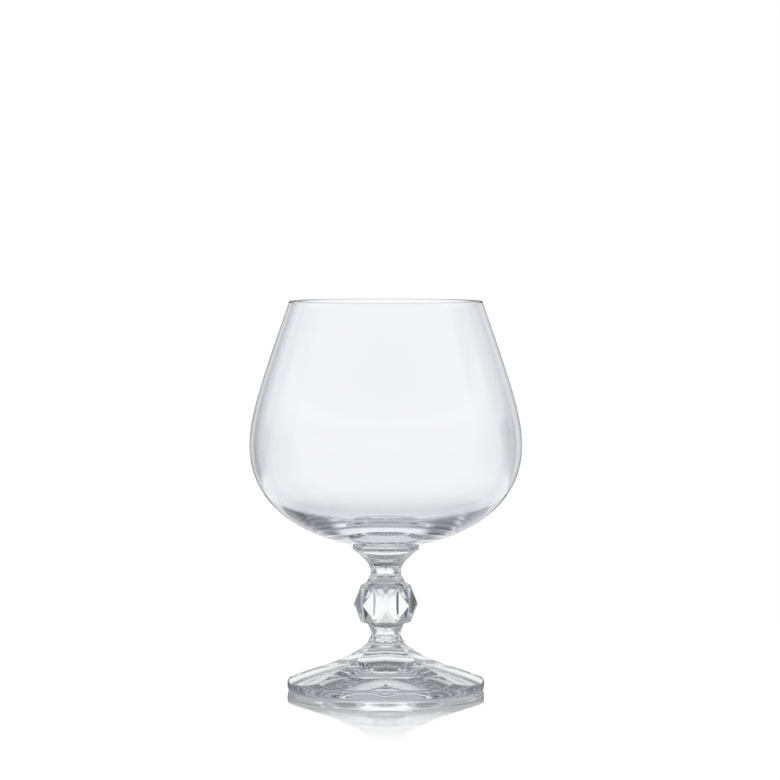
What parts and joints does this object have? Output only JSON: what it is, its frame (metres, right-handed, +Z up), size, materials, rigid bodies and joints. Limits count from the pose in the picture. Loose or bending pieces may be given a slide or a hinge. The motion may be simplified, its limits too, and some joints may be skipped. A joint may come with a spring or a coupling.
{
  "type": "brandy snifter",
  "caption": "Stemmed brandy glass: a wide round bowl that narrows to its mouth, a short faceted stem with a pointed knop, and a faceted foot with a round rim.",
  "frame": {"origin": "middle of the foot, in the plane of the flat ring that the glass stands on", "axes": "+Z up the axis of the glass; a corner of the eight-sided stem faces -Y, the side that the picture is taken from"},
  "size_m": [0.0838, 0.0836, 0.12],
  "materials": {
    "blown_glass": "clear, thin, fire polished at the lip",
    "pressed_glass": "clear, pressed facets, fire polished",
    "foot_glass": "clear, pressed facets, fire polished"
  },
  "bodies": {
    "root": {"bowl": "blown_glass", "stem": "pressed_glass", "foot": "foot_glass"}
  },
  "joints": []
}
